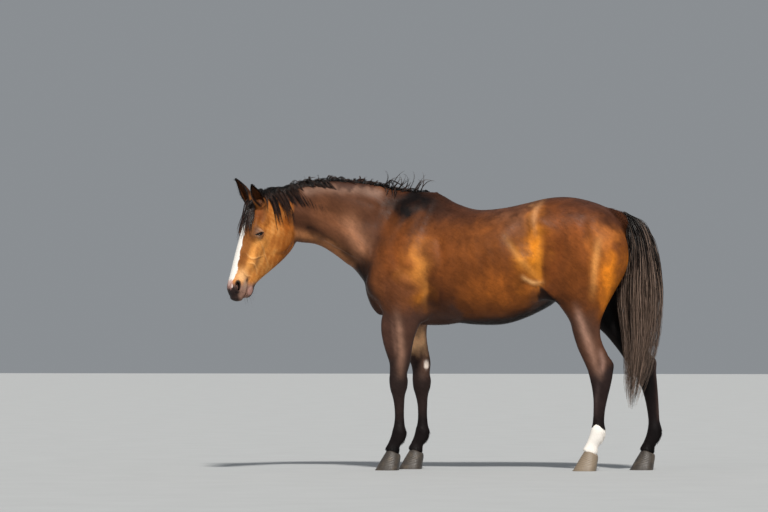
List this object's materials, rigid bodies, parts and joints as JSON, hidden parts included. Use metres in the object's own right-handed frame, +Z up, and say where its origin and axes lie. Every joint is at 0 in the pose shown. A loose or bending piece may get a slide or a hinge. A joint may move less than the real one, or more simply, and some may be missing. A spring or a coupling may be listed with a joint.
{
  "type": "horse",
  "caption": "Life-size bay horse standing at rest with its head turned and lowered a little; a still model, one rigid piece.",
  "frame": {"origin": "the floor under the middle of the whole horse", "axes": "-X the way the trunk faces, -Y the horse's left, +Z up"},
  "size_m": [2.4297, 0.8749, 1.6709],
  "materials": {
    "trunk": "short bay coat",
    "neck": "short dark bay coat",
    "head": "short bay coat, white blaze",
    "ear_left": "short dark coat",
    "ear_right": "short dark coat",
    "eye_left": "wet dark eye",
    "eye_right": "wet dark eye",
    "forelock": "long black hair",
    "mane": "long black hair",
    "tail": "long black hair",
    "foreleg_left": "short black coat",
    "foreleg_right": "short black coat",
    "hindleg_left": "short black coat, white sock",
    "hindleg_right": "short black coat",
    "hoof_fore_left": "dark horn",
    "hoof_fore_right": "dark horn",
    "hoof_hind_left": "paler horn",
    "hoof_hind_right": "dark horn"
  },
  "bodies": {
    "root": {"trunk": "trunk", "neck": "neck", "head": "head", "ear_left": "ear_left", "ear_right": "ear_right", "eye_left": "eye_left", "eye_right": "eye_right", "forelock": "forelock", "mane": "mane", "tail": "tail", "foreleg_left": "foreleg_left", "foreleg_right": "foreleg_right", "hindleg_left": "hindleg_left", "hindleg_right": "hindleg_right", "hoof_fore_left": "hoof_fore_left", "hoof_fore_right": "hoof_fore_right", "hoof_hind_left": "hoof_hind_left", "hoof_hind_right": "hoof_hind_right"}
  },
  "joints": []
}
